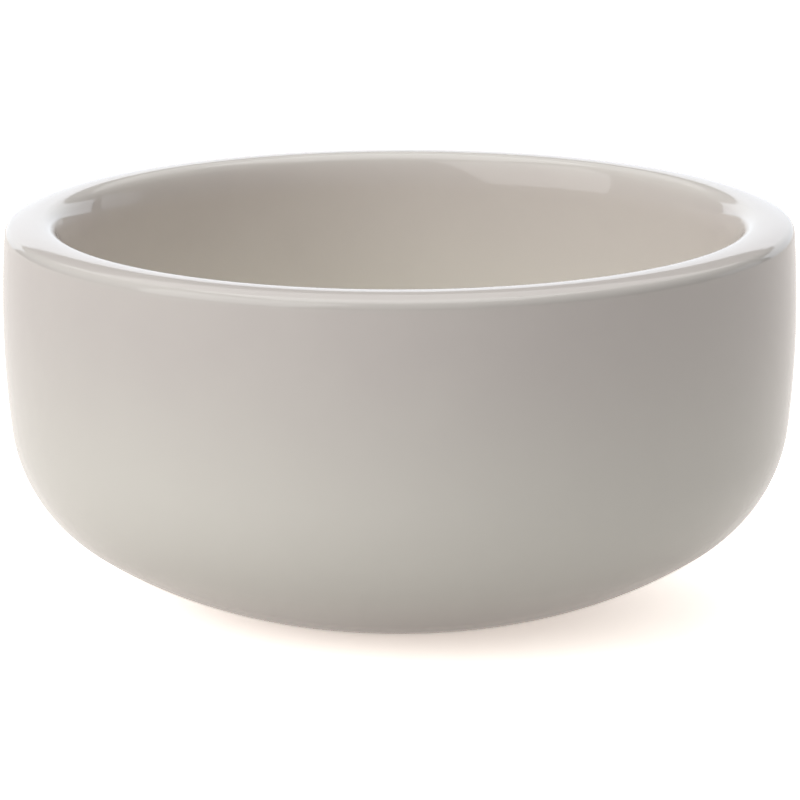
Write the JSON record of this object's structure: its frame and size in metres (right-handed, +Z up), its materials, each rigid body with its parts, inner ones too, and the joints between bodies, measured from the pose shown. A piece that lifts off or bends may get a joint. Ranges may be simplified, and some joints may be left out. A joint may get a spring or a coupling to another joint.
{
  "type": "shaving bowl",
  "caption": "Round thick-walled glazed porcelain lather bowl with a softly crowned rim, upright wall, curved belly and a flush ground foot ring.",
  "frame": {"origin": "centre of the foot ring on the table, the middle of the bowl's underside", "axes": "+Z up along the bowl's axis of revolution, from the foot to the open mouth; X and Y are alike"},
  "size_m": [0.12, 0.12, 0.0587],
  "materials": {
    "bisque": "matte",
    "glaze": "gloss"
  },
  "bodies": {
    "root": {"porcelain_body": "bisque", "bowl_glaze": "glaze", "foot_recess_glaze": "glaze"}
  },
  "joints": []
}
